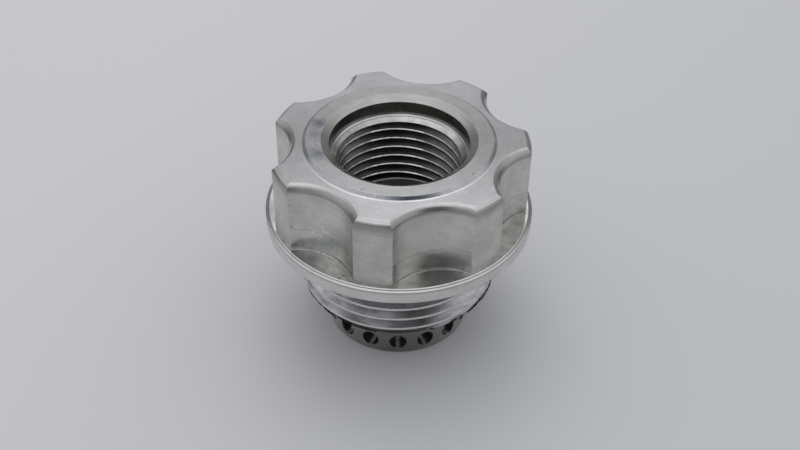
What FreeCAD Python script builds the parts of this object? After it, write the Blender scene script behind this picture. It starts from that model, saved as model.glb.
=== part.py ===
import FreeCAD
import Part
import Sketcher

import os

# Vented oil filler cap, turned and milled from one bar, with its rubber sealing ring.
# Millimetres. The axis of the cap is Z, the nose stands on z = 0 and a scallop faces +X.

SIZES = [
    ("overall_height", "42.8"),
    # Raised boss around the port
    ("boss_height", "0.5"),
    ("boss_radius", "17.7"),
    ("boss_slope", "0.55"),
    # Lobed grip
    ("grip_height", "14.65"),
    ("grip_radius", "24.8"),
    ("grip_chamfer", "0.95"),
    ("scallop_count", "7"),
    ("scallop_centre", "31.5"),
    ("scallop_radius", "10.8"),
    ("scallop_chamfer", "1.1"),
    ("scallop_corner", "0.3"),
    # Flange below the grip
    ("flange_radius", "26.0"),
    ("flange_thickness", "3.05"),
    ("flange_edge", "0.25"),
    ("rim_width", "0.75"),
    ("rim_drop", "0.42"),
    # Neck, drawn at the crest of its thread
    ("neck_radius", "19.2"),
    ("neck_length", "15.2"),
    ("neck_chamfer", "1.0"),
    ("relief_radius", "17.7"),
    ("relief_height", "2.6"),
    # Nose with its ring of vents
    ("nose_radius", "14.4"),
    ("nose_edge", "0.3"),
    ("floor_thickness", "1.2"),
    ("cavity_radius", "11.2"),
    ("vent_count", "16"),
    ("vent_radius", "1.72"),
    ("vent_height", "3.0"),
    # Degrees from the middle of a scallop to the first vent
    ("vent_turn", "1.5"),
    # Port, drawn at the crest of its thread
    ("mouth_radius", "14.8"),
    ("mouth_depth", "0.95"),
    ("counterbore_radius", "13.3"),
    ("counterbore_depth", "3.55"),
    ("ledge_width", "0.35"),
    ("cone_depth", "4.55"),
    ("port_radius", "11.65"),
    ("port_depth", "18.4"),
    # Square-cut sealing ring, flat against the flange
    ("seal_width", "2.7"),
    ("seal_thickness", "2.4"),
    ("seal_edge", "0.35"),
    ("seal_clearance", "0.05"),
    # How far a cutter starts outside the metal
    ("overcut", "1.0"),
]

# Levels and radii worked out from the sizes above.
DERIVED = [
    ("grip_top", "overall_height - boss_height"),
    ("flange_floor", "grip_top - grip_height"),
    ("flange_under", "flange_floor - flange_thickness"),
    ("neck_end", "flange_under - neck_length"),
    ("relief_low", "flange_under - relief_height"),
    ("relief_start", "relief_low - neck_radius + relief_radius"),
    ("counterbore_floor", "overall_height - counterbore_depth"),
    ("port_floor", "overall_height - port_depth"),
    ("scallop_wall", "scallop_centre - scallop_radius"),
    ("seal_in", "relief_radius + seal_clearance"),
    ("seal_out", "seal_in + seal_width"),
    ("seal_low", "flange_under - seal_thickness"),
]


def fill_sheet(doc):
    """The driving sizes and what follows from them, one named cell each."""
    sheet = doc.addObject("Spreadsheet::Sheet", "Sizes")
    rows = SIZES + [(name, "=" + formula) for name, formula in DERIVED]
    for row, (name, text) in enumerate(rows, start=1):
        sheet.set(f"A{row}", name)
        sheet.set(f"B{row}", text)
        sheet.setAlias(f"B{row}", name)
    doc.recompute()
    return sheet


def in_sheet(formula):
    """The formula with every size in it read from the sheet."""
    names = {name for name, _ in SIZES + DERIVED}
    words = formula.split()
    return " ".join("Sizes." + word if word in names else word for word in words)


def value(sheet, formula):
    """The number that a sum of sizes comes to."""
    total, sign = 0.0, 1
    for word in formula.split():
        if word in "+-":
            sign = 1 if word == "+" else -1
        else:
            total += sign * (float(word) if word[0].isdigit() else sheet.get(word))
    return total


def origin_feature(body, role):
    return next(feature for feature in body.Origin.OriginFeatures if feature.Role == role)


def new_sketch(body, name, role):
    """An empty sketch on one of the body's own origin planes."""
    sketch = body.newObject("Sketcher::SketchObject", name)
    sketch.AttachmentSupport = [(origin_feature(body, role), "")]
    sketch.MapMode = "FlatFace"
    return sketch


def place_point(sketch, sheet, label, curve, end, across, up):
    """Tie a point of a curve to two sums of sizes, measured from the sketch's origin."""
    for kind, axis_line, suffix, formula in (("DistanceX", -2, "across", across),
                                             ("DistanceY", -1, "up", up)):
        if formula == "0":
            sketch.addConstraint(Sketcher.Constraint("PointOnObject", curve, end, axis_line))
            continue
        size = value(sheet, formula)
        number = sketch.addConstraint(Sketcher.Constraint(kind, -1, 1, curve, end, size))
        sketch.renameConstraint(number, f"{label}_{suffix}")
        sketch.setExpression(f"Constraints.{label}_{suffix}", in_sheet(formula))


def outline(sketch, sheet, corners):
    """A closed straight-sided outline through named corners, each given as (name, across, up)."""
    points = [FreeCAD.Vector(value(sheet, across), value(sheet, up), 0) for _, across, up in corners]
    count = len(points)
    for start, end in zip(points, points[1:] + points[:1]):
        sketch.addGeometry(Part.LineSegment(start, end), False)
    for line in range(count):
        sketch.addConstraint(Sketcher.Constraint("Coincident", line, 2, (line + 1) % count, 1))
    for line, (label, across, up) in enumerate(corners):
        place_point(sketch, sheet, label, line, 1, across, up)


def circle(sketch, sheet, radius, across, up):
    """A circle whose radius and centre follow the sheet."""
    centre = FreeCAD.Vector(value(sheet, across), value(sheet, up), 0)
    disc = Part.Circle(centre, FreeCAD.Vector(0, 0, 1), value(sheet, radius))
    curve = sketch.addGeometry(disc, False)
    place_point(sketch, sheet, "centre", curve, 3, across, up)
    number = sketch.addConstraint(Sketcher.Constraint("Radius", curve, value(sheet, radius)))
    sketch.renameConstraint(number, "radius")
    sketch.setExpression("Constraints.radius", in_sheet(radius))


def repeat_round(body, feature, name, count):
    """Copies of a cut, evenly spaced about the cap's axis."""
    pattern = body.newObject("PartDesign::PolarPattern", name)
    pattern.Originals = [feature]
    pattern.Axis = (origin_feature(body, "Z_Axis"), [""])
    pattern.Angle = 360
    pattern.setExpression("Occurrences", in_sheet(count))
    feature.Visibility = False
    body.Tip = pattern
    return pattern


def turn_blank(body, sheet):
    """The whole turned shape: nose, neck, flange, grip, boss and the stepped port inside."""
    section = new_sketch(body, "turned_section", "XZ_Plane")
    outline(section, sheet, [
        ("axis_foot", "0", "0"),
        ("nose_foot", "nose_radius - nose_edge", "0"),
        ("nose_side", "nose_radius", "nose_edge"),
        ("nose_top", "nose_radius", "neck_end"),
        ("neck_foot", "neck_radius - neck_chamfer", "neck_end"),
        ("neck_side", "neck_radius", "neck_end + neck_chamfer"),
        ("neck_top", "neck_radius", "relief_start"),
        ("relief_foot", "relief_radius", "relief_low"),
        ("relief_top", "relief_radius", "flange_under"),
        ("flange_foot", "flange_radius - flange_edge", "flange_under"),
        ("flange_side", "flange_radius", "flange_under + flange_edge"),
        ("rim_side", "flange_radius", "flange_floor - rim_drop"),
        ("rim_top", "flange_radius - rim_width", "flange_floor"),
        ("grip_foot", "grip_radius", "flange_floor"),
        ("grip_side", "grip_radius", "grip_top - grip_chamfer"),
        ("grip_edge", "grip_radius - grip_chamfer", "grip_top"),
        ("boss_foot", "boss_radius + boss_slope", "grip_top"),
        ("boss_edge", "boss_radius", "overall_height"),
        ("mouth_edge", "mouth_radius", "overall_height"),
        ("mouth_low", "counterbore_radius", "overall_height - mouth_depth"),
        ("counterbore_low", "counterbore_radius", "counterbore_floor"),
        ("ledge_in", "counterbore_radius - ledge_width", "counterbore_floor"),
        ("port_top", "port_radius", "overall_height - cone_depth"),
        ("port_low", "port_radius", "port_floor"),
        ("cavity_top", "cavity_radius", "port_floor"),
        ("cavity_low", "cavity_radius", "floor_thickness"),
        ("axis_floor", "0", "floor_thickness"),
    ])
    blank = body.newObject("PartDesign::Revolution", "turned_blank")
    blank.Profile = section
    blank.ReferenceAxis = (section, ["V_Axis"])
    blank.Angle = 360
    section.Visibility = False


def mill_scallops(body, sheet):
    """Finger scallops down to the flange, each with a chamfer round its top edge."""
    section = new_sketch(body, "scallop_section", "XZ_Plane")
    outline(section, sheet, [
        ("centre_low", "scallop_centre", "flange_floor"),
        ("centre_top", "scallop_centre", "grip_top + overcut"),
        ("chamfer_top", "scallop_wall - scallop_chamfer - overcut", "grip_top + overcut"),
        ("chamfer_low", "scallop_wall", "grip_top - scallop_chamfer"),
        ("wall_low", "scallop_wall", "flange_floor + scallop_corner"),
        ("corner_low", "scallop_wall + scallop_corner", "flange_floor"),
    ])
    centre_low = FreeCAD.Vector(value(sheet, "scallop_centre"), 0, 0)
    centre_top = FreeCAD.Vector(value(sheet, "scallop_centre"), value(sheet, "flange_floor"), 0)
    axis = section.addGeometry(Part.LineSegment(centre_low, centre_top), True)
    section.addConstraint(Sketcher.Constraint("Coincident", axis, 2, 0, 1))
    section.addConstraint(Sketcher.Constraint("PointOnObject", axis, 1, -1))
    section.addConstraint(Sketcher.Constraint("Vertical", axis))
    cut = body.newObject("PartDesign::Groove", "scallop")
    cut.Profile = section
    cut.ReferenceAxis = (section, ["Axis0"])
    cut.Angle = 360
    section.Visibility = False
    repeat_round(body, cut, "scallops", "scallop_count")


def drill_vents(body, sheet):
    """Radial vents through the wall of the nose, just above its floor."""
    section = new_sketch(body, "vent_section", "YZ_Plane")
    turn = FreeCAD.Rotation(FreeCAD.Vector(0, 1, 0), value(sheet, "vent_turn"))
    section.AttachmentOffset = FreeCAD.Placement(FreeCAD.Vector(), turn)
    section.setExpression("AttachmentOffset.Rotation.Angle", in_sheet("vent_turn"))
    circle(section, sheet, "vent_radius", "0", "vent_height")
    cut = body.newObject("PartDesign::Pocket", "vent")
    cut.Profile = section
    cut.Type = "Length"
    cut.Reversed = True
    cut.setExpression("Length", in_sheet("nose_radius + overcut"))
    section.Visibility = False
    repeat_round(body, cut, "vents", "vent_count")


def make_cap(doc, sheet):
    body = doc.addObject("PartDesign::Body", "cap_body")
    body.Label = "cap_body"
    turn_blank(body, sheet)
    doc.recompute()
    blank_volume = body.Shape.Volume
    mill_scallops(body, sheet)
    doc.recompute()
    milled_volume = body.Shape.Volume
    drill_vents(body, sheet)
    doc.recompute()
    if not blank_volume > milled_volume > body.Shape.Volume:
        raise RuntimeError("a cut of the cap removed nothing")
    return body


def make_seal(doc, sheet):
    """A square-cut rubber ring round the relief, face to face with the flange."""
    body = doc.addObject("PartDesign::Body", "seal_ring")
    body.Label = "seal_ring"
    section = new_sketch(body, "seal_section", "XZ_Plane")
    outline(section, sheet, [
        ("inner_low", "seal_in", "seal_low + seal_edge"),
        ("inner_foot", "seal_in + seal_edge", "seal_low"),
        ("outer_foot", "seal_out - seal_edge", "seal_low"),
        ("outer_low", "seal_out", "seal_low + seal_edge"),
        ("outer_high", "seal_out", "flange_under - seal_edge"),
        ("outer_top", "seal_out - seal_edge", "flange_under"),
        ("inner_top", "seal_in + seal_edge", "flange_under"),
        ("inner_high", "seal_in", "flange_under - seal_edge"),
    ])
    ring = body.newObject("PartDesign::Revolution", "seal")
    ring.Profile = section
    ring.ReferenceAxis = (section, ["V_Axis"])
    ring.Angle = 360
    section.Visibility = False
    doc.recompute()
    return body


def check(doc, bodies):
    """Stop if any object failed or any piece is not one sound solid."""
    for item in doc.Objects:
        if "Invalid" in item.State or "Error" in item.State:
            raise RuntimeError(f"{item.Name} failed: {item.State}")
    for body in bodies:
        shape = body.Shape
        if shape.isNull() or not shape.isValid() or len(shape.Solids) != 1:
            raise RuntimeError(f"{body.Label} is not one sound solid")


def main():
    doc = FreeCAD.newDocument("OilFillerCap")
    sheet = fill_sheet(doc)
    bodies = [make_cap(doc, sheet), make_seal(doc, sheet)]
    doc.recompute()
    check(doc, bodies)
    os.makedirs("parts", exist_ok=True)
    for body in bodies:
        body.Shape.exportStep(f"parts/{body.Label}.step")
        box = body.Shape.BoundBox
        print(f"{body.Label}: {body.Shape.Volume:.1f} mm3,"
              f" {box.XLength:.2f} x {box.YLength:.2f} x {box.ZLength:.2f} mm")


main()
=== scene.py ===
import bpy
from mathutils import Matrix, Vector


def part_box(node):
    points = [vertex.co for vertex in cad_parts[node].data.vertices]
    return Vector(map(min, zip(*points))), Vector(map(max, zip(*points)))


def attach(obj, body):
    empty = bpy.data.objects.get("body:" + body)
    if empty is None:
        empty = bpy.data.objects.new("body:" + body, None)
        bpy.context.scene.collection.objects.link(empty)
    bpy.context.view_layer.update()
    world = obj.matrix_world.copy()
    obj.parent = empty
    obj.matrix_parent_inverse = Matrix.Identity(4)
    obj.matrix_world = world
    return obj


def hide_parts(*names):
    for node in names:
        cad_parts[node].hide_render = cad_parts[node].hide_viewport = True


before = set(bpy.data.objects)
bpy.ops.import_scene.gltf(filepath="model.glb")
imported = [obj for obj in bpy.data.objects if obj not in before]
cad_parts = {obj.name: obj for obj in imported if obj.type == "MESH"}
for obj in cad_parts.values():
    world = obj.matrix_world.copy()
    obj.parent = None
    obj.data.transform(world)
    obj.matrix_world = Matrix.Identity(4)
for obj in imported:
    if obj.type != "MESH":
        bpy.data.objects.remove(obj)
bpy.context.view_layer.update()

import math
import random

import bmesh
import bpy
from mathutils import Matrix, Vector

# Metres and radians. The cap stands on its nose on z = 0, with its axis on Z.
MM = 0.001
TURN = 2 * math.pi

_, BOX_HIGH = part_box("cap_body")
CAP_HEIGHT = BOX_HIGH.z
FLANGE_RADIUS = BOX_HIGH.x

# Radii of the cap that its threads and finishes follow
BOSS_RADIUS = 17.7 * MM
STEP_RADIUS = 18.4 * MM
LOBE_RADIUS = 23.8 * MM
RIM_RADIUS = FLANGE_RADIUS - 0.9 * MM
NECK_RADIUS = 19.2 * MM
NOSE_RADIUS = 14.4 * MM
MOUTH_RADIUS = 14.8 * MM
COUNTERBORE_RADIUS = 13.3 * MM
CONE_RADIUS = 12.55 * MM
PORT_RADIUS = 11.65 * MM
CAVITY_RADIUS = 11.2 * MM

# Levels, from the top down
MOUTH_LOW = CAP_HEIGHT - 0.97 * MM
GRIP_TOP = CAP_HEIGHT - 0.5 * MM
CONE_LOW = CAP_HEIGHT - 4.55 * MM
PORT_FLOOR = CAP_HEIGHT - 18.4 * MM
FLANGE_FLOOR = GRIP_TOP - 14.65 * MM
RIM_LOW = FLANGE_FLOOR - 0.42 * MM
FLANGE_UNDER = FLANGE_FLOOR - 3.05 * MM
NECK_END = FLANGE_UNDER - 15.2 * MM
VENT_HIGH = 4.8 * MM
VENT_LOW = 1.25 * MM
NOSE_FLOOR = 1.2 * MM

# Width of the chamfer at the neck's lower end
NECK_CHAMFER = 1.0 * MM

# How near to a level or radius a face counts as on it
NEAR = 0.05 * MM

# The vents: how many, and degrees from +X to the first
VENT_COUNT = 16
VENT_TURN = 1.5

# How far the camera has turned about the axis, and the directions toward it and away from it
CAMERA_TURN = math.radians(23.47)
FRONT = CAMERA_TURN - math.pi / 2
BACK = CAMERA_TURN + math.pi / 2


def link(obj):
    """The object, now in the scene."""
    bpy.context.scene.collection.objects.link(obj)
    return obj


def mesh_object(name, vertices, faces):
    """A new object in the scene with a mesh of these vertices and faces."""
    mesh = bpy.data.meshes.new(name)
    mesh.from_pydata(vertices, [], faces)
    mesh.validate()
    return link(bpy.data.objects.new(name, mesh))


def apply_modifiers(obj):
    """Works the object's modifiers into its mesh."""
    graph = bpy.context.evaluated_depsgraph_get()
    mesh = bpy.data.meshes.new_from_object(obj.evaluated_get(graph))
    obj.modifiers.clear()
    obj.data = mesh


def turn_outward(obj):
    """Makes every face of a closed mesh look outward."""
    bm = bmesh.new()
    bm.from_mesh(obj.data)
    bmesh.ops.recalc_face_normals(bm, faces=bm.faces)
    bm.to_mesh(obj.data)
    bm.free()
    return obj


# Camera


def add_camera():
    """The photograph's view: 40 degrees down on the cap, a little rolled."""
    distance = 178.16 * MM
    rise = 127.78 * MM
    yaw = math.radians(0.087)
    pitch = math.radians(39.932)
    roll = math.radians(0.735)
    photo_width_px = 800
    focal_px = 1167.4
    data = bpy.data.cameras.new("camera")
    data.sensor_width = 36.0
    data.lens = data.sensor_width * focal_px / photo_width_px
    data.clip_start = 0.01
    camera = link(bpy.data.objects.new("camera", data))
    place = Matrix.Rotation(CAMERA_TURN, 4, "Z") @ Vector((0, -distance, rise))
    aim = (Matrix.Rotation(CAMERA_TURN - yaw, 4, "Z") @ Matrix.Rotation(math.pi / 2 - pitch, 4, "X")
           @ Matrix.Rotation(roll, 4, "Z"))
    camera.matrix_world = Matrix.Translation(place + Vector((0, 0, CAP_HEIGHT))) @ aim
    bpy.context.scene.camera = camera


# Threads, cut as helical grooves


def groove_section(width, depth, flank_angle, lip, points=4):
    """A thread's groove: (depth into the metal, place along the axis) pairs from one lip to the other.

    Straight flanks lean flank_angle from square to the axis, and each lip is rounded over its width.
    """
    lean = math.tan(math.radians(flank_angle))
    lip_drop = 0.55
    flank_share = 0.93
    root_share = 0.55
    side = []
    for step in range(points + 1):
        share = step / points
        side.append((lip * share * share * lip_drop, width / 2 - lip * share))
    shoulder_depth, shoulder = side[-1]
    root = shoulder - (depth - shoulder_depth) * lean
    side.append((depth * flank_share, root + (1 - flank_share) * depth * lean))
    side.append((depth, root * root_share))
    section = [(deep, -along) for deep, along in side]
    section += [(deep, along) for deep, along in reversed(side)]
    return section


def helical_groove(name, wall, sign, pitch, section, crest_angle, crest_height, low, high, fades):
    """A closed cutter along a right-handed helix.

    A depth into the metal is at radius wall - sign * depth, so sign is 1 on a shaft and -1 in a bore. The
    crest passes crest_height at crest_angle, and the groove runs half a pitch beside it from low to high.
    Each end fades out over its number of turns in fades, or is cut square where that is 0.
    """
    steps_per_turn = 96
    overcut = 0.6 * MM
    clear = 0.03 * MM
    start = crest_height + pitch / 2 - pitch * crest_angle / TURN
    first = math.ceil((low - start) / pitch * steps_per_turn)
    last = math.floor((high - start) / pitch * steps_per_turn)
    vertices = []
    faces = []
    half = section[-1][1]
    outline = [(None, half), (None, -half)] + section
    size = len(outline)
    for step in range(first, last + 1):
        angle = TURN * step / steps_per_turn
        height = start + pitch * step / steps_per_turn
        turns_in = ((step - first) / steps_per_turn, (last - step) / steps_per_turn)
        fade = min([1.0] + [turns / length for turns, length in zip(turns_in, fades) if length])
        fade = fade * fade * (3 - 2 * fade)
        for depth, along in outline:
            inward = -overcut if depth is None else (depth + clear) * fade - clear
            radius = wall - sign * inward
            vertices.append((radius * math.cos(angle), radius * math.sin(angle), height + along))
    rings = last - first + 1
    for ring in range(rings - 1):
        for side in range(size):
            a = ring * size + side
            b = ring * size + (side + 1) % size
            faces.append((a, b, b + size, a + size))
    faces.append(tuple(range(size)))
    faces.append(tuple((rings - 1) * size + side for side in range(size)))
    return turn_outward(mesh_object(name, vertices, faces))


def cut(obj, cutter):
    """Takes the cutter's volume out of the object, and removes the cutter."""
    modifier = obj.modifiers.new("cut", "BOOLEAN")
    modifier.operation = "DIFFERENCE"
    modifier.solver = "EXACT"
    modifier.object = cutter
    apply_modifiers(obj)
    bpy.data.objects.remove(cutter)


def neck_groove():
    """The groove of the neck's thread, from under the flange out through the neck's end."""
    pitch = 2.51 * MM
    section = groove_section(width=2.38 * MM, depth=1.3 * MM, flank_angle=33, lip=0.3 * MM)
    crest_height = CAP_HEIGHT - 28.91 * MM
    return helical_groove("neck_groove", wall=NECK_RADIUS, sign=1, pitch=pitch, section=section,
                          crest_angle=FRONT, crest_height=crest_height,
                          low=NECK_END - pitch, high=FLANGE_UNDER - 2.2 * MM, fades=(0, 0))


def port_groove():
    """The groove of the port's thread, from near its floor out through the lead-in cone."""
    pitch = 2.129 * MM
    section = groove_section(width=2.0 * MM, depth=1.1 * MM, flank_angle=30, lip=0.3 * MM)
    crest_height = CAP_HEIGHT - 6.54 * MM
    return helical_groove("port_groove", wall=PORT_RADIUS, sign=-1, pitch=pitch, section=section,
                          crest_angle=BACK, crest_height=crest_height,
                          low=PORT_FLOOR + 1.1 * MM, high=CONE_LOW + pitch, fades=(0.4, 0))


def ring_cutter(name, profile, steps=360):
    """A closed ring turned about the cap's axis from (radius, height) corners."""
    vertices = []
    faces = []
    size = len(profile)
    for step in range(steps):
        angle = TURN * step / steps
        for radius, height in profile:
            vertices.append((radius * math.cos(angle), radius * math.sin(angle), height))
    for step in range(steps):
        after = (step + 1) % steps
        for corner in range(size):
            following = (corner + 1) % size
            faces.append((step * size + corner, step * size + following,
                          after * size + following, after * size + corner))
    return turn_outward(mesh_object(name, vertices, faces))


def rim_line():
    """The fine line that the tool left halfway down the flange's sloping rim."""
    middle = FLANGE_RADIUS - 0.45 * MM
    height = FLANGE_FLOOR - 0.168 * MM
    half = 0.09 * MM
    return ring_cutter("rim_line", [(middle - half, height + 1.5 * half), (middle, height - 0.8 * half),
                                    (middle + 1.2 * half, height + 0.2 * half),
                                    (middle + half, height + 5 * half)])


def cone_line():
    """The fine dark line at the outer edge of the port's lead-in cone."""
    height = CAP_HEIGHT - 3.8 * MM
    half = 0.08 * MM
    return ring_cutter("cone_line", [(CONE_RADIUS - half, height + 3 * half), (CONE_RADIUS - half, height),
                                     (CONE_RADIUS + half, height - half),
                                     (CONE_RADIUS + half, height + 3 * half)])


# Cap


def cap_piece():
    """The body as it leaves the lathe and mill, with both threads cut into it."""
    weld_distance = 0.001 * MM
    sharp_angle = math.radians(28)
    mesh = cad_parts["cap_body"].data.copy()
    mesh.name = "cap"
    mesh.materials.clear()
    for attribute in [a for a in mesh.attributes if a.name == "custom_normal"]:
        mesh.attributes.remove(attribute)
    piece = link(bpy.data.objects.new("cap", mesh))
    bm = bmesh.new()
    bm.from_mesh(mesh)
    bmesh.ops.remove_doubles(bm, verts=bm.verts, dist=weld_distance)
    bm.to_mesh(mesh)
    bm.free()
    for cutter in (neck_groove, port_groove, rim_line, cone_line):
        cut(piece, cutter())
    piece.data.shade_smooth()
    piece.data.set_sharp_from_angle(angle=sharp_angle)
    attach(piece, "root")
    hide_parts("cap_body")
    return piece


def burr():
    """The ragged thin edge that the cutter left hanging along the neck's lower end."""
    # First and last degree to the right of the camera's side, millimetres over the neck's end, thickness
    spans = ((-92, -70, 1.0, 1.0), (-72, -52, 0.95, 1.2), (-52, -41, 0.6, 1.8), (-40, -28, 0.3, 1.3),
             (-29, -12, -0.22, 1.3), (20, 24, 0.3, 1.0), (33, 48, 0.35, 0.8), (46, 62, 0.85, 0.8),
             (60, 94, 1.0, 0.8), (100, 150, 0.6, 1.0), (170, 214, 0.4, 1.0), (225, 262, 0.8, 1.0))
    step = 0.7
    wander = 0.05
    thicknesses = (0.05, 0.08, 0.12, 0.2, 0.3)
    lifts = (0.02, 0.04, 0.08, 0.15)
    root = 0.25 * MM
    dice = random.Random(11)
    vertices = []
    faces = []
    for first, last, up, size in spans:
        height = NECK_END + up * MM
        count = int((last - first) / step)
        start = len(vertices)
        for index in range(count + 1):
            angle = FRONT + math.radians(first + index * step)
            height += dice.uniform(-wander, wander) * MM
            taper = min(1.0, index / 2, (count - index) / 2)
            thick = dice.choice(thicknesses) * size * MM * taper
            lift = dice.choice(lifts) * MM
            chamfered = min(0.0, max(height - NECK_END, 0.0) - NECK_CHAMFER)
            radius = NECK_RADIUS + chamfered + lift
            for depth, rise in ((-root, 0.0), (0.0, -thick * 0.4), (0.0, thick), (-root, thick * 0.8)):
                vertices.append(((radius + depth) * math.cos(angle), (radius + depth) * math.sin(angle),
                                 height + rise))
        for index in range(count):
            for side in range(4):
                a = start + index * 4 + side
                b = start + index * 4 + (side + 1) % 4
                faces.append((a, b, b + 4, a + 4))
    ribbon = mesh_object("burr", vertices, faces)
    # Near black: partly the burr's own dark metal, partly painted shade of the gap under it.
    ribbon.data.materials.append(bare_metal("burr", (0.03, 0.029, 0.025), 0.5, edge=0.02))
    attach(ribbon, "root")


# Materials


class Graph:
    """A material's nodes, with short calls for the few kinds used here.

    A source is the output of a node, or a plain number.
    """

    def __init__(self, name):
        self.material = bpy.data.materials.new(name)
        self.material.use_nodes = True
        self.nodes = self.material.node_tree.nodes
        self.links = self.material.node_tree.links
        self.shader = self.nodes["Principled BSDF"]

    def add(self, kind, **settings):
        node = self.nodes.new(kind)
        for name, setting in settings.items():
            setattr(node, name, setting)
        return node

    def feed(self, socket, source):
        """Links an output to the socket, or sets a plain number on it."""
        if hasattr(source, "links"):
            self.links.new(source, socket)
        else:
            socket.default_value = source

    def math(self, operation, first, second=0.0):
        node = self.add("ShaderNodeMath", operation=operation)
        self.feed(node.inputs[0], first)
        self.feed(node.inputs[1], second)
        return node.outputs[0]

    def place(self):
        """Where the shaded point is, in metres: as a vector, and as separate X, Y and Z."""
        coordinates = self.add("ShaderNodeTexCoord")
        split = self.add("ShaderNodeSeparateXYZ")
        self.links.new(coordinates.outputs["Object"], split.inputs[0])
        return coordinates.outputs["Object"], split.outputs

    def join(self, x, y, z):
        node = self.add("ShaderNodeCombineXYZ")
        for socket, source in zip(node.inputs, (x, y, z)):
            self.feed(socket, source)
        return node.outputs[0]

    def noise(self, vector, scale, detail=3.0, roughness=0.55):
        node = self.add("ShaderNodeTexNoise")
        self.links.new(vector, node.inputs["Vector"])
        node.inputs["Scale"].default_value = scale
        node.inputs["Detail"].default_value = detail
        node.inputs["Roughness"].default_value = roughness
        return node.outputs["Fac"]

    def spread(self, source, low, high, out_low, out_high):
        """The source's range low to high, stretched to another range and held at its ends."""
        node = self.add("ShaderNodeMapRange")
        for name, number in (("Value", source), ("From Min", low), ("From Max", high),
                             ("To Min", out_low), ("To Max", out_high)):
            self.feed(node.inputs[name], number)
        return node.outputs[0]

    def shade(self, colour, factor):
        """A colour times a factor that varies over the surface."""
        node = self.add("ShaderNodeMix", data_type="RGBA", blend_type="MULTIPLY")
        node.inputs[0].default_value = 1.0
        self.feed(node.inputs[6], colour if hasattr(colour, "links") else (*colour, 1))
        self.links.new(factor, node.inputs[7])
        return node.outputs[2]


def axis_distance(graph):
    """How far the shaded point is from the cap's axis."""
    _, (x, y, _) = graph.place()
    return graph.math("SQRT", graph.math("ADD", graph.math("MULTIPLY", x, x), graph.math("MULTIPLY", y, y)))


def tool_marks(graph, kind):
    """Fine marks of the cutter: rings about the axis on a flat face, level lines on a wall."""
    per_metre = 3600.0
    per_radian = 2.5
    _, (x, y, z) = graph.place()
    across = axis_distance(graph) if kind == "rings" else z
    angle = graph.math("ARCTAN2", y, x)
    vector = graph.join(graph.math("MULTIPLY", across, per_metre),
                        graph.math("MULTIPLY", angle, per_radian), 0.0)
    return graph.noise(vector, 1.0)


def side_gain(graph, middle, reach, soft, gain):
    """Painted light and shade by side: 1 near one direction about the axis, gain away from it.

    Middle is in degrees from the side behind the cap, so 180 is the camera's side. The value holds for
    reach degrees either way and changes over the next soft degrees.
    """
    _, (x, y, _) = graph.place()
    turn = BACK + math.radians(middle)
    ahead = graph.math("ADD", graph.math("MULTIPLY", x, math.cos(turn)),
                       graph.math("MULTIPLY", y, math.sin(turn)))
    aside = graph.math("SUBTRACT", graph.math("MULTIPLY", y, math.cos(turn)),
                       graph.math("MULTIPLY", x, math.sin(turn)))
    off = graph.math("ABSOLUTE", graph.math("ARCTAN2", aside, ahead))
    return graph.spread(off, math.radians(reach), math.radians(reach + soft), 1.0, gain)


def glint(graph):
    """A painted highlight along the middle of each vent, and painted shade beside it."""
    reach = 0.11
    bright = 2.3
    dark = 0.25
    _, (x, y, _) = graph.place()
    angle = graph.math("SUBTRACT", graph.math("ARCTAN2", y, x), math.radians(VENT_TURN))
    off = graph.math("PINGPONG", graph.math("MULTIPLY", angle, VENT_COUNT / TURN), 0.5)
    return graph.spread(off, 0.0, reach, bright, dark)


def streak_noise(graph):
    """Long uneven streaks round the axis."""
    per_metre = 800.0
    per_radian = 3.5
    _, (x, y, z) = graph.place()
    angle = graph.math("ARCTAN2", y, x)
    vector = graph.join(graph.math("MULTIPLY", z, per_metre), graph.math("MULTIPLY", angle, per_radian), 0.0)
    return graph.noise(vector, 1.0)


def pits(graph, point, cell, size, share):
    """A few small pits: 1 where the metal is clean, 0 in a pit. Cell and size are in millimetres."""
    node = graph.add("ShaderNodeTexVoronoi")
    node.inputs["Scale"].default_value = 1 / (cell * MM)
    graph.links.new(point, node.inputs["Vector"])
    split = graph.add("ShaderNodeSeparateColor")
    graph.links.new(node.outputs["Color"], split.inputs[0])
    clear = graph.spread(node.outputs["Distance"], 0.5 * size / cell, size / cell, 0.0, 1.0)
    chosen = graph.math("LESS_THAN", split.outputs[0], share)
    return graph.math("MAXIMUM", clear, graph.math("SUBTRACT", 1.0, chosen))


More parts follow.
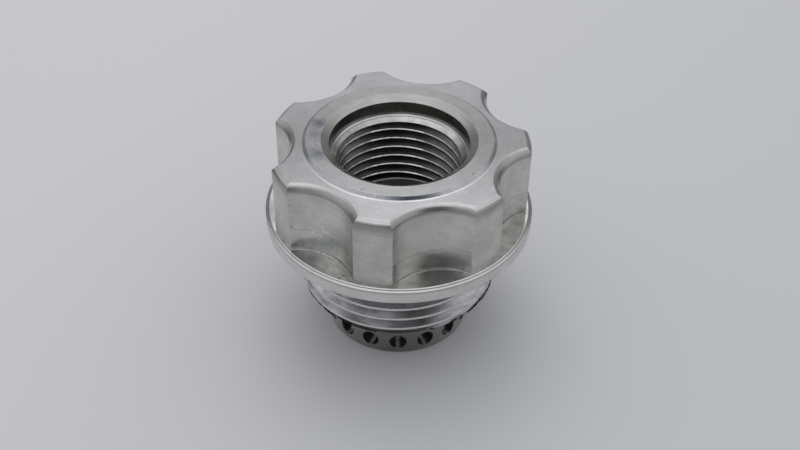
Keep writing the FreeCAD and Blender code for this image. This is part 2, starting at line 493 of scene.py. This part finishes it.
def bare_metal(name, tint, roughness, marks="lines", line_tone=0.06, marks_height=0.004, anisotropy=0.0,
               cloud=0.08, cloud_scale=260.0, grain=0.05, edge=0.12, stains=(), painted_light_patches=(), spots=(), bands=(),
               roll=None, streaks=0.0, step_line=None, beside=None, foot=None, vents=False,
               metallic=1.0):
    """Bare aluminium as the cutter left it: tool marks, grain, handling clouds, pits and soft edges, with
    painted light and shade where asked.

    line_tone, cloud, grain and streaks say how much each lightens and darkens the tint.
    marks_height and edge, the depth of the marks and the rounding of edges, are in millimetres.
    stains are (place, reach in millimetres, darkness), and pale patches of painted light are (place, reach,
    gain).
    spots are (place, size in millimetres), small dark pits.
    bands are (low, high, tone at low, tone at high) by height, and roll is the same for the upward lean.
    step_line is the height of a fine line with a smoother wall below it.
    beside is side_gain's (middle, reach, soft, gain), for painted light and shade by side, and foot the
    radius of a faint pale ring of painted highlight.
    """
    graph = Graph(name)
    shader = graph.shader
    shader.inputs["Metallic"].default_value = metallic
    point, (_, _, z) = graph.place()
    lines = tool_marks(graph, marks)

    tone = graph.spread(graph.noise(point, cloud_scale, detail=5.0), 0.3, 0.7, 1 - cloud, 1 + cloud)

    def toned(factor):
        return graph.math("MULTIPLY", tone, factor)

    tone = toned(graph.spread(graph.noise(point, 2600.0, detail=2.0), 0.3, 0.7, 1 - grain, 1 + grain))
    tone = toned(graph.spread(lines, 0.3, 0.7, 1 - line_tone, 1 + line_tone))
    clean = pits(graph, point, cell=2.3, size=0.2, share=0.12)
    tone = toned(graph.spread(clean, 0.0, 1.0, 0.25, 1.0))
    # A painted highlight: a faint pale ring at the foot radius, on the camera's side only.
    if foot:
        off = graph.math("ABSOLUTE", graph.math("SUBTRACT", axis_distance(graph), foot))
        ring = graph.math("MULTIPLY", graph.spread(off, 0.08 * MM, 0.2 * MM, 0.4, 0.0),
                          side_gain(graph, 180, 45, 30, 0.0))
        tone = toned(graph.math("ADD", ring, 1.0))
    # Painted light and shade that change with the side about the axis.
    if beside:
        tone = toned(side_gain(graph, *beside))
    # Pale patches of painted light.
    for place, reach, gain in painted_light_patches:
        tone = toned(ragged_patch(graph, point, place, reach, -gain))
    # Painted highlight and shade in each vent.
    if vents:
        tone = toned(glint(graph))
    if streaks:
        tone = toned(graph.spread(streak_noise(graph), 0.38, 0.62, 1 - streaks, 1 + streaks))
    if step_line:
        reach = 0.12 * MM
        wander = graph.spread(graph.noise(point, 1400.0), 0.3, 0.7, -reach, reach)
        off = graph.math("ABSOLUTE", graph.math("ADD", graph.math("SUBTRACT", z, step_line), wander))
        tone = toned(graph.spread(off, 0.02 * MM, 0.14 * MM, 0.72, 1.0))
        tone = toned(graph.spread(z, step_line - 0.1 * MM, step_line, 0.93, 1.0))
    for place, size in spots:
        tone = toned(spot(graph, point, place, size))
    # Tone by height: painted shade and highlights on most finishes.
    for low, high, at_low, at_high in bands:
        tone = toned(graph.spread(z, low, high, at_low, at_high))
    colour = graph.shade(tint, tone)
    for place, reach, darkness in stains:
        clear = ragged_patch(graph, point, place, reach, darkness)
        bluish = graph.join(graph.math("POWER", clear, 1.15), clear, graph.math("POWER", clear, 0.85))
        colour = graph.shade(colour, bluish)
    graph.links.new(colour, shader.inputs["Base Color"])

    rough = graph.spread(graph.noise(point, 700.0, detail=4.0), 0.3, 0.7, roughness * 0.85, roughness * 1.18)
    if step_line:
        rough = graph.math("MULTIPLY", rough, graph.spread(z, step_line - 0.1 * MM, step_line, 0.65, 1.0))
    graph.links.new(rough, shader.inputs["Roughness"])

    bevel = graph.add("ShaderNodeBevel", samples=6)
    bevel.inputs["Radius"].default_value = edge * MM
    normal = bevel.outputs["Normal"]
    if roll:
        normal = rolled(graph, normal, z, roll)
    bump = graph.add("ShaderNodeBump")
    bump.inputs["Strength"].default_value = 1.0
    bump.inputs["Distance"].default_value = marks_height * MM
    graph.links.new(lines, bump.inputs["Height"])
    graph.links.new(normal, bump.inputs["Normal"])
    graph.links.new(bump.outputs["Normal"], shader.inputs["Normal"])
    if anisotropy:
        shader.inputs["Anisotropic"].default_value = anisotropy
        shader.inputs["Anisotropic Rotation"].default_value = 0.25
        tangent = graph.add("ShaderNodeTangent", direction_type="RADIAL", axis="Z")
        graph.links.new(tangent.outputs[0], shader.inputs["Tangent"])
    return graph.material


def rolled(graph, normal, z, roll):
    """The normal leaned upward by an amount that runs from one height to another, as on a worn edge."""
    low, high, at_low, at_high = roll
    lift = graph.join(0.0, 0.0, graph.spread(z, low, high, at_low, at_high))
    lean = graph.add("ShaderNodeVectorMath", operation="ADD")
    graph.links.new(normal, lean.inputs[0])
    graph.links.new(lift, lean.inputs[1])
    unit = graph.add("ShaderNodeVectorMath", operation="NORMALIZE")
    graph.links.new(lean.outputs[0], unit.inputs[0])
    return unit.outputs[0]


def spot(graph, point, place, size):
    """One small dark pit: 1 clear of it, less in it. Its size is in millimetres."""
    node = graph.add("ShaderNodeVectorMath", operation="DISTANCE")
    graph.links.new(point, node.inputs[0])
    node.inputs[1].default_value = place
    return graph.spread(node.outputs["Value"], 0.3 * size * MM, size * MM, 0.3, 1.0)


def ragged_patch(graph, point, place, reach, darkness):
    """A soft ragged patch, strongest in its middle: darker where darkness is above zero, as on a stained
    spot, and pale where it is below zero, as painted light.
    """
    node = graph.add("ShaderNodeVectorMath", operation="DISTANCE")
    graph.links.new(point, node.inputs[0])
    node.inputs[1].default_value = place
    ragged = graph.spread(graph.noise(point, 900.0, detail=6.0, roughness=0.7), 0.3, 0.7, 0.45, 1.5)
    away = graph.math("MULTIPLY", node.outputs["Value"], ragged)
    return graph.spread(away, 0.0, reach * MM, 1 - darkness, 1.0)


def around(radius, degrees, height):
    """A point this many millimetres from the axis, so many degrees to the right of the camera's side."""
    angle = FRONT + math.radians(degrees)
    return radius * MM * math.cos(angle), radius * MM * math.sin(angle), height


def rubber():
    """Matt black rubber."""
    graph = Graph("rubber")
    graph.shader.inputs["Base Color"].default_value = (0.018, 0.018, 0.018, 1)
    point, _ = graph.place()
    rough = graph.spread(graph.noise(point, 900.0), 0.3, 0.7, 0.5, 0.7)
    graph.links.new(rough, graph.shader.inputs["Roughness"])
    return graph.material


def finishes():
    """The finishes of the cap, many with painted light and shade, by name, in the order of its material
    slots.
    """
    boss_stains = ((around(15.9, -106, CAP_HEIGHT), 2.2, 0.55), (around(15.9, -93, CAP_HEIGHT), 2.0, 0.35),
                   (around(15.8, -70, CAP_HEIGHT), 2.2, 0.5))
    boss_spots = ((around(17.4, -22.7, CAP_HEIGHT), 0.15), (around(17.1, -22.5, CAP_HEIGHT), 0.15),
                  (around(16.8, -22.4, CAP_HEIGHT), 0.13), (around(16.7, -13.9, CAP_HEIGHT), 0.13),
                  (around(15.2, 165, CAP_HEIGHT), 0.2), (around(17.2, 51, CAP_HEIGHT), 0.24))
    step_stains = ((around(17.9, 4, GRIP_TOP), 6.5, 0.6),)
    wall_stains = ((around(21.5, 25.5, FLANGE_FLOOR + 1.2 * MM), 3.6, 0.36),)
    # A pale patch of painted light low on the left scallop's wall.
    wall_painted_light = ((around(21.0, -40, FLANGE_FLOOR + MM), 5.0, 0.55),)
    wall_spots = ((around(24.7, -53.6, 38.0 * MM), 0.17), (around(24.5, -53.3, 33.0 * MM), 0.26),
                  (around(21.0, -41.9, 34.4 * MM), 0.17), (around(22.5, 2.3, 34.1 * MM), 0.19))
    floor_stains = ((around(23.8, 26, FLANGE_FLOOR), 3.4, 0.2), (around(23.5, -42, FLANGE_FLOOR), 4.0, 0.4),
                    (around(25.0, -80, FLANGE_FLOOR), 6.0, 0.35))
    floor_spots = ((around(24.0, -24.3, FLANGE_FLOOR), 0.35), (around(25.0, -25.2, FLANGE_FLOOR), 0.3),
                   (around(23.7, 29.2, FLANGE_FLOOR), 0.25))
    tool_step = FLANGE_FLOOR + 4.65 * MM
    materials = (
        # Head top: darker away from the camera's side, painted light; a pale ring of painted highlight near
        # the boss's foot on that side.
        bare_metal("head_top", (0.61, 0.61, 0.62), 0.34, "rings", anisotropy=0.75, grain=0.045, edge=0.3,
                   foot=BOSS_RADIUS + 0.8 * MM, beside=(180, 45, 60, 0.88)),
        # Boss top: its stains and pits are its own; darker away from the camera's side is painted light.
        bare_metal("boss_top", (0.525, 0.525, 0.53), 0.34, "rings", anisotropy=0.7, grain=0.055, edge=0.15,
                   stains=boss_stains, spots=boss_spots, beside=(180, 45, 60, 0.92)),
        # Lobe edge: painted shade on the chamfer's lower part.
        bare_metal("lobe_edge", (0.74, 0.74, 0.74), 0.2, grain=0.03,
                   bands=((GRIP_TOP - 0.64 * MM, GRIP_TOP - 0.48 * MM, 0.5, 1.0),),
                   roll=(GRIP_TOP - 0.75 * MM, GRIP_TOP - 0.3 * MM, 0.0, 1.0)),
        # Scallop edge: a darker copy of the lobes' chamfer, painted shade, and darker still on its lower
        # part.
        bare_metal("scallop_edge", (0.5, 0.5, 0.5), 0.18, grain=0.03,
                   bands=((GRIP_TOP - 1.1 * MM, GRIP_TOP - 0.6 * MM, 0.7, 1.0),),
                   roll=(GRIP_TOP - 0.6 * MM, GRIP_TOP - 0.3 * MM, 0.0, 1.8)),
        # Mouth: painted light, brightest on the side behind the cap and darker elsewhere.
        bare_metal("mouth", (0.63, 0.62, 0.605), 0.24, "rings", line_tone=0.1, grain=0.02,
                   beside=(0, 50, 40, 0.86)),
        bare_metal("step", (0.64, 0.64, 0.65), 0.14, grain=0.03, stains=step_stains),
        # Lobe wall: painted shade, darker toward the top of the wall.
        bare_metal("lobe_wall", (0.56, 0.557, 0.531), 0.34, marks_height=0.006, edge=0.2, cloud=0.13,
                   bands=((GRIP_TOP - 3.2 * MM, GRIP_TOP - 1.4 * MM, 1.0, 0.66),)),
        # Scallop wall: its stains, pits and the tool's step line are its own; painted shade darkens it toward
        # the top, and painted light brightens a patch low on the left scallop.
        bare_metal("scallop_wall", (0.605, 0.602, 0.572), 0.32, marks_height=0.006, edge=0.18, cloud=0.13,
                   stains=wall_stains, painted_light_patches=wall_painted_light, spots=wall_spots, step_line=tool_step,
                   bands=((GRIP_TOP - 3.4 * MM, GRIP_TOP - MM, 1.0, 0.84),
                          (GRIP_TOP - 1.8 * MM, GRIP_TOP - 1.45 * MM, 1.0, 0.68))),
        # Wall foot: a painted highlight line along the walls' foot, a paler copy of the metal, dimmer above
        # its lowest tenth of a millimetre and away from the camera's side.
        bare_metal("wall_foot", (0.8, 0.8, 0.78), 0.2, cloud=0.3, cloud_scale=500.0, edge=0.02,
                   beside=(180, 60, 60, 0.6),
                   bands=((FLANGE_FLOOR + 0.05 * MM, FLANGE_FLOOR + 0.12 * MM, 1.0, 0.55),),
                   roll=(FLANGE_FLOOR, FLANGE_FLOOR + 0.3 * MM, 2.5, 2.5)),
        bare_metal("flange_floor", (0.67, 0.663, 0.647), 0.16, "rings", cloud=0.25, cloud_scale=420.0,
                   edge=0.05, stains=floor_stains, spots=floor_spots),
        # Rim: painted light, darker away from the camera's side.
        bare_metal("rim", (0.82, 0.815, 0.8), 0.12, grain=0.0, marks_height=0.001, edge=0.16,
                   beside=(180, 20, 40, 0.88)),
        # Rim line: the tool line's groove drawn near black, painted shade.
        bare_metal("rim_line", (0.16, 0.155, 0.15), 0.4, grain=0.0, edge=0.02),
        # Flange side: painted shade in a dark line just under the rim.
        bare_metal("flange_side", (0.67, 0.665, 0.65), 0.28, grain=0.03, edge=0.1,
                   bands=((RIM_LOW - 0.5 * MM, RIM_LOW - 0.25 * MM, 1.0, 0.72),)),
        # Neck: painted shade, a dark copy of the metal, lifted up to 2.7 times by painted light away from the
        # camera's side; darker toward its lower end.
        bare_metal("neck", (0.25, 0.255, 0.265), 0.11, cloud=0.15, grain=0.1, marks_height=0.002, edge=0.03,
                   streaks=0.3, beside=(176, 22, 50, 2.7),
                   bands=((NECK_END + 0.3 * MM, NECK_END + 1.1 * MM, 0.7, 1.0),)),
        # Neck crest: a lit copy of the neck's metal, with painted highlight on the crests nearest the flange.
        bare_metal("neck_crest", (0.72, 0.72, 0.71), 0.14, grain=0.03, marks_height=0.002, edge=0.05,
                   bands=((FLANGE_UNDER - 5 * MM, FLANGE_UNDER - 4 * MM, 1.0, 1.35),)),
        # Nose: painted shade, a darker copy of the metal, up to twice as light away from the camera's side by
        # painted light, with a painted shadow just under the neck's end.
        bare_metal("nose", (0.285, 0.285, 0.28), 0.2, cloud=0.12, beside=(180, 15, 50, 2.0),
                   bands=((NECK_END - 0.6 * MM, NECK_END - 0.1 * MM, 1.0, 0.4),)),
        # Vent: painted highlight along the middle of each vent and painted shade beside it.
        bare_metal("vent", (0.37, 0.365, 0.34), 0.12, cloud=0.55, cloud_scale=900.0, edge=0.02, vents=True,
                   metallic=0.65),
        # Counterbore: painted shade in the recess, darker still away from the side behind the cap.
        bare_metal("counterbore", (0.33, 0.325, 0.3), 0.3, cloud=0.15, edge=0.06, beside=(0, 40, 35, 0.28)),
        # Bore and nose floor: painted shade inside the cavity, slightly olive.
        bare_metal("bore", (0.2, 0.198, 0.175), 0.5, cloud=0.15, edge=0.06, metallic=0.2),
        bare_metal("nose_floor", (0.14, 0.138, 0.12), 0.5, cloud=0.15, metallic=0.2),
        # Port seat: a paler and duller copy of the metal on the port's floor, painted light.
        bare_metal("port_seat", (0.6, 0.6, 0.6), 0.5, edge=0.02, metallic=0.2),
        bare_metal("ledge", (0.7, 0.7, 0.71), 0.2, cloud=0.15, grain=0.03, edge=0.05),
        # Cone: painted light, brightest on the side behind the cap and duller elsewhere.
        bare_metal("cone", (0.78, 0.78, 0.79), 0.14, cloud=0.2, cloud_scale=500.0, grain=0.03, edge=0.04,
                   beside=(-20, 25, 45, 0.7)),
        # Port crest: painted highlight along the thread's crests, strongest on the wall behind the port.
        bare_metal("port_crest", (0.97, 0.96, 0.94), 0.25, cloud=0.4, cloud_scale=900.0, grain=0.0,
                   marks_height=0.0005, edge=0.01, beside=(2.5, 25, 2, 0.5),
                   roll=(PORT_FLOOR, CONE_LOW, 0.5, 0.5)),
        # Port flank: painted shade, near black in the thread's grooves, up to 3.2 times lighter away from the
        # wall behind the port by painted light.
        bare_metal("port_flank", (0.062, 0.062, 0.06), 0.35, cloud=0.3, edge=0.01,
                   beside=(2.5, 24, 25, 3.2)),
    )
    return {material.name: material for material in materials}


def port_finish(height, radius, outward, rising):
    """Which finish a face has between the mouth and the port's floor."""
    if height > MOUTH_LOW:
        return "mouth"
    if height > CONE_LOW and radius < CONE_RADIUS:
        return "cone"
    if height > CONE_LOW:
        on_ledge = CONE_RADIUS + 0.09 * MM < radius < COUNTERBORE_RADIUS - 0.1 * MM
        return "ledge" if on_ledge and outward < 0.2 else "counterbore"
    if height < PORT_FLOOR + NEAR:
        return "port_seat"
    return "port_crest" if radius < PORT_RADIUS + 0.2 * MM and rising > 0.25 else "port_flank"


def grip_finish(height, radius, lobe, rising):
    """Which finish a face has above the flange, outside the port."""
    if rising > 0.95:
        return "boss_top" if height > CAP_HEIGHT - NEAR else "head_top"
    if rising > 0.2 and height < FLANGE_FLOOR + 0.4 * MM:
        return "wall_foot"
    if rising > 0.3 and height > GRIP_TOP - NEAR and radius < STEP_RADIUS:
        return "step"
    if rising > 0.3:
        return "lobe_edge" if lobe else "scallop_edge"
    return "lobe_wall" if lobe else "scallop_wall"


def finish_at(centre, normal):
    """Which finish a face of the cap has, by the place of its middle and the way that it looks.

    Outward and rising are how far its normal points away from the axis and upward, from -1 to 1.
    """
    radius = math.hypot(centre.x, centre.y)
    height = centre.z
    rising = normal.z
    outward = (normal.x * centre.x + normal.y * centre.y) / max(radius, NEAR)
    inside = radius < MOUTH_RADIUS + NEAR and outward < 0.3
    lobe = radius > LOBE_RADIUS and outward > 0.98 * math.hypot(normal.x, normal.y)
    if inside and PORT_FLOOR - NEAR < height < CAP_HEIGHT - NEAR:
        return port_finish(height, radius, outward, rising)
    if inside and radius < CAVITY_RADIUS + 0.1 * MM and height > NOSE_FLOOR - NEAR:
        return "nose_floor" if rising > 0.5 else "bore"
    if height > FLANGE_FLOOR + NEAR:
        return grip_finish(height, radius, lobe, rising)
    if height > FLANGE_UNDER - NEAR:
        if rising > 0.95:
            return "flange_floor"
        if radius > RIM_RADIUS and height > RIM_LOW - NEAR:
            return "rim" if 0.83 < rising < 0.91 else "rim_line"
        return "flange_side"
    if height > NECK_END - NEAR and radius > NOSE_RADIUS + 0.2 * MM:
        return "neck_crest" if radius > NECK_RADIUS - 0.08 * MM else "neck"
    if VENT_LOW < height < VENT_HIGH and abs(outward) < 0.6:
        return "vent"
    return "nose"


def finish_cap(cap):
    """Gives each face of the cap its finish, with any light and shade painted into it."""
    materials = finishes()
    for material in materials.values():
        cap.data.materials.append(material)
    order = list(materials)
    for face in cap.data.polygons:
        face.material_index = order.index(finish_at(face.center, face.normal))


# Floor and light


def add_floor():
    """A plain pale surface, with painted shade: a little darker and cooler toward the camera's right."""
    half = 1.5
    floor = mesh_object("floor", [(-half, -half, 0), (half, -half, 0), (half, half, 0), (-half, half, 0)],
                        [(0, 1, 2, 3)])
    graph = Graph("floor")
    _, (x, y, _) = graph.place()
    left_tone = (0.545, 0.542, 0.566, 1)
    right_tone = (0.482, 0.493, 0.504, 1)
    toward_camera = 0.5
    across = graph.math(
        "ADD", graph.math("MULTIPLY", x, math.cos(CAMERA_TURN) - toward_camera * math.cos(BACK)),
        graph.math("MULTIPLY", y, math.sin(CAMERA_TURN) - toward_camera * math.sin(BACK)))
    mix = graph.add("ShaderNodeMix", data_type="RGBA")
    graph.links.new(graph.spread(across, -0.12, 0.08, 0.0, 1.0), mix.inputs[0])
    mix.inputs[6].default_value = left_tone
    mix.inputs[7].default_value = right_tone
    graph.links.new(mix.outputs[2], graph.shader.inputs["Base Color"])
    graph.shader.inputs["Roughness"].default_value = 0.9
    graph.shader.inputs["Specular IOR Level"].default_value = 0.2
    floor.data.materials.append(graph.material)


def area_light(name, side, elevation, distance, size, power):
    """A soft square lamp aimed at the cap; side 0 is behind it, -90 its left, 180 the camera's side."""
    data = bpy.data.lights.new(name, "AREA")
    data.size = size
    data.energy = power
    lamp = link(bpy.data.objects.new(name, data))
    lamp.visible_glossy = False
    turn = CAMERA_TURN - math.radians(side)
    rise = math.radians(elevation)
    out = Vector((-math.sin(turn) * math.cos(rise), math.cos(turn) * math.cos(rise), math.sin(rise)))
    lamp.location = Vector((0, 0, CAP_HEIGHT / 2)) + out * distance
    lamp.rotation_euler = out.to_track_quat("Z", "Y").to_euler()


def add_world():
    """A pale room, in which bright metal and dull surfaces see different light.

    Bright metal sees a room with a glow high behind the cap, a window on either side and a dark patch
    where the camera is. Dull surfaces see a smooth dome, and the camera itself sees one even grey.
    """
    world = bpy.data.worlds.new("world")
    world.use_nodes = True
    bpy.context.scene.world = world
    nodes = world.node_tree.nodes
    links = world.node_tree.links
    direction = nodes.new("ShaderNodeTexCoord").outputs["Generated"]

    def along(axis):
        """How far the ray's direction points along the axis, from -1 to 1."""
        node = nodes.new("ShaderNodeVectorMath")
        node.operation = "DOT_PRODUCT"
        node.inputs[1].default_value = axis
        links.new(direction, node.inputs[0])
        return node.outputs["Value"]

    def ramp(source, low, high, stops):
        """A grey level by (place, level) stops, where the places 0 and 1 are the source's low and high."""
        scale = nodes.new("ShaderNodeMapRange")
        scale.inputs["From Min"].default_value = low
        scale.inputs["From Max"].default_value = high
        links.new(source, scale.inputs["Value"])
        band = nodes.new("ShaderNodeValToRGB")
        links.new(scale.outputs[0], band.inputs[0])
        points = band.color_ramp.elements
        while len(points) < len(stops):
            points.new(0.5)
        for point, (place, level) in zip(points, stops):
            point.position = place
            point.color = (level, level, level * 1.02, 1)
        return band.outputs[0]

    def shade(level):
        """One even grey, a little cool."""
        node = nodes.new("ShaderNodeRGB")
        node.outputs[0].default_value = (level, level, level * 1.02, 1)
        return node.outputs[0]

    def mixed(share, first, second):
        """The first colour where the share is 0, and the second where it is 1."""
        node = nodes.new("ShaderNodeMix")
        node.data_type = "RGBA"
        links.new(share, node.inputs[0])
        links.new(first, node.inputs[6])
        links.new(second, node.inputs[7])
        return node.outputs[2]

    def toward(side, elevation):
        """A unit direction: side 0 is behind the cap, 90 its right, 180 the camera's side."""
        turn = CAMERA_TURN - math.radians(side)
        rise = math.radians(elevation)
        return -math.sin(turn) * math.cos(rise), math.cos(turn) * math.cos(rise), math.sin(rise)

    height = along((0, 0, 1))
    back = ramp(height, 0, 1, [(0.0, 0.26), (0.3, 0.2), (0.6, 0.38), (0.85, 0.66), (1.0, 0.72)])
    front = ramp(height, 0, 1, [(0.0, 0.36), (0.3, 0.36), (0.6, 0.42), (0.76, 0.38), (0.83, 0.72)])
    share = ramp(along(toward(0, 0)), -0.5, 0.5, [(0.0, 0.0), (1.0, 1.0)])
    room = mixed(share, front, back)
    # Side and elevation of each patch, the degrees where it starts and is full, and its level
    for side, elevation, start, full, level in ((0, 56, 24, 0, 1.5), (90, 40, 40, 15, 0.6),
                                                (-90, 40, 40, 15, 0.6), (160, 48, 25, 8, 0.16)):
        patch = ramp(along(toward(side, elevation)), math.cos(math.radians(start)),
                     math.cos(math.radians(full)), [(0.0, 0.0), (1.0, 1.0)])
        room = mixed(patch, room, shade(level))
    behind = ramp(height, 0, 1, [(0.0, 0.28), (0.5, 0.82), (0.9, 1.22), (1.0, 1.22)])
    before = ramp(height, 0, 1, [(0.0, 0.14), (0.5, 0.6), (0.9, 1.22), (1.0, 1.22)])
    dome = mixed(share, before, behind)
    rays = nodes.new("ShaderNodeLightPath").outputs
    diffuse = mixed(rays["Is Diffuse Ray"], room, dome)
    links.new(mixed(rays["Is Camera Ray"], diffuse, shade(0.55)), nodes["Background"].inputs["Color"])


def main():
    """Dresses the cap and its ring, and sets them on the floor in the photograph's light."""
    add_camera()
    finish_cap(cap_piece())
    burr()
    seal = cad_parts["seal_ring"]
    seal.data.materials.clear()
    seal.data.materials.append(rubber())
    add_floor()
    add_world()
    area_light("overhead", side=-10, elevation=60, distance=0.8, size=0.5, power=0.9)
    bpy.context.scene.view_settings.view_transform = "Standard"


main()
